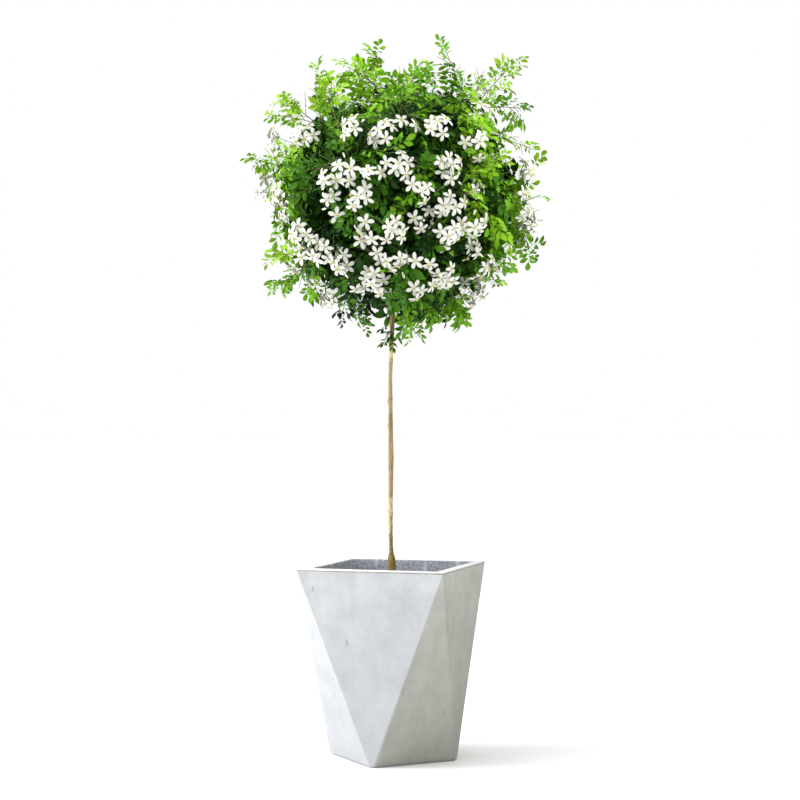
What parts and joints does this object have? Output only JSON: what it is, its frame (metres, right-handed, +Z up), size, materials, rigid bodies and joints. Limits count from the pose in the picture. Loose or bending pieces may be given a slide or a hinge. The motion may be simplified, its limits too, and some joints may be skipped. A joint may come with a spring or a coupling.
{
  "type": "potted orange jasmine",
  "caption": "Orange jasmine grown as a standard: a slim bare stem with a round flowering head, in a tall square planter whose foot is turned against its rim.",
  "frame": {"origin": "middle of the planter's flat underside, on the ground", "axes": "+Z up the stem; -Y is the side the plant is seen from, turned 18 degrees to the right of it"},
  "size_m": [0.6064, 0.5784, 1.3527],
  "materials": {
    "concrete": "pale fibre cement, softly mottled with small pits",
    "soil": "dark crumbly potting soil",
    "bark": "tan bark, matte",
    "foliage": "glossy green leaves with white blossom"
  },
  "bodies": {
    "root": {"bough_high_1": "bark", "bough_high_2": "bark", "bough_high_3": "bark", "bough_high_4": "bark", "bough_high_5": "bark", "bough_low_1": "bark", "bough_low_2": "bark", "bough_low_3": "bark", "bough_low_4": "bark", "bough_low_5": "bark", "bough_mid_1": "bark", "bough_mid_2": "bark", "bough_mid_3": "bark", "bough_mid_4": "bark", "bough_mid_5": "bark", "bough_mid_6": "bark", "foliage_high_1": "foliage", "foliage_high_2": "foliage", "foliage_high_3": "foliage", "foliage_high_4": "foliage", "foliage_high_5": "foliage", "foliage_low_1": "foliage", "foliage_low_2": "foliage", "foliage_low_3": "foliage", "foliage_low_4": "foliage", "foliage_low_5": "foliage", "foliage_mid_1": "foliage", "foliage_mid_2": "foliage", "foliage_mid_3": "foliage", "foliage_mid_4": "foliage", "foliage_mid_5": "foliage", "foliage_mid_6": "foliage", "foliage_sprig": "foliage", "foliage_top": "foliage", "planter": "concrete", "soil": "soil", "trunk": "bark"}
  },
  "joints": []
}
